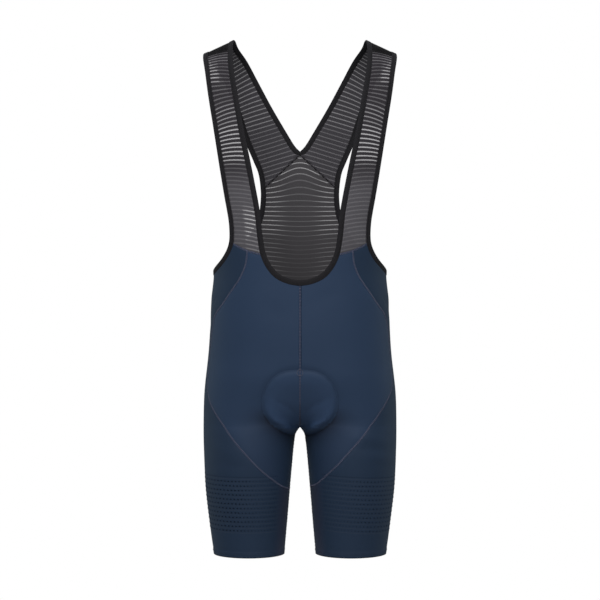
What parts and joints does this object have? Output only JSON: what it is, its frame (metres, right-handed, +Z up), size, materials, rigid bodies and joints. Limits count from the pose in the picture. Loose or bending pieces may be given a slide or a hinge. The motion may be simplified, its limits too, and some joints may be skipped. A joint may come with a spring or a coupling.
{
  "type": "cycling bib shorts",
  "caption": "Close-fitting shorts with a low scooped front, mesh shoulder straps and back, curved panel seams and a padded seat, held in worn shape.",
  "frame": {"origin": "between the shoulder lines of both straps, on the centre plane", "axes": "+X towards the right side as seen from the front, +Y towards the back, +Z up"},
  "size_m": [0.338, 0.2437, 0.8962],
  "materials": {
    "front_stretch": "fine stretch knit, navy, soft sheen",
    "side_stretch": "fine stretch knit, dark navy, with a woven dot band above each hem",
    "mesh": "open mesh, charcoal, with thin sheer cross stripes",
    "binding": "folded elastic binding, near black",
    "pad": "soft moulded pad under knit, dark blue"
  },
  "bodies": {
    "root": {"front_left": "front_stretch", "front_right": "front_stretch", "seat_left": "front_stretch", "seat_right": "front_stretch", "side_left": "side_stretch", "side_right": "side_stretch", "front_strap_left": "mesh", "front_strap_right": "mesh", "back_strap_left": "mesh", "back_strap_right": "mesh", "back_panel": "mesh", "armhole_binding_left": "binding", "armhole_binding_right": "binding", "neck_binding": "binding", "seat_pad": "pad"}
  },
  "joints": []
}
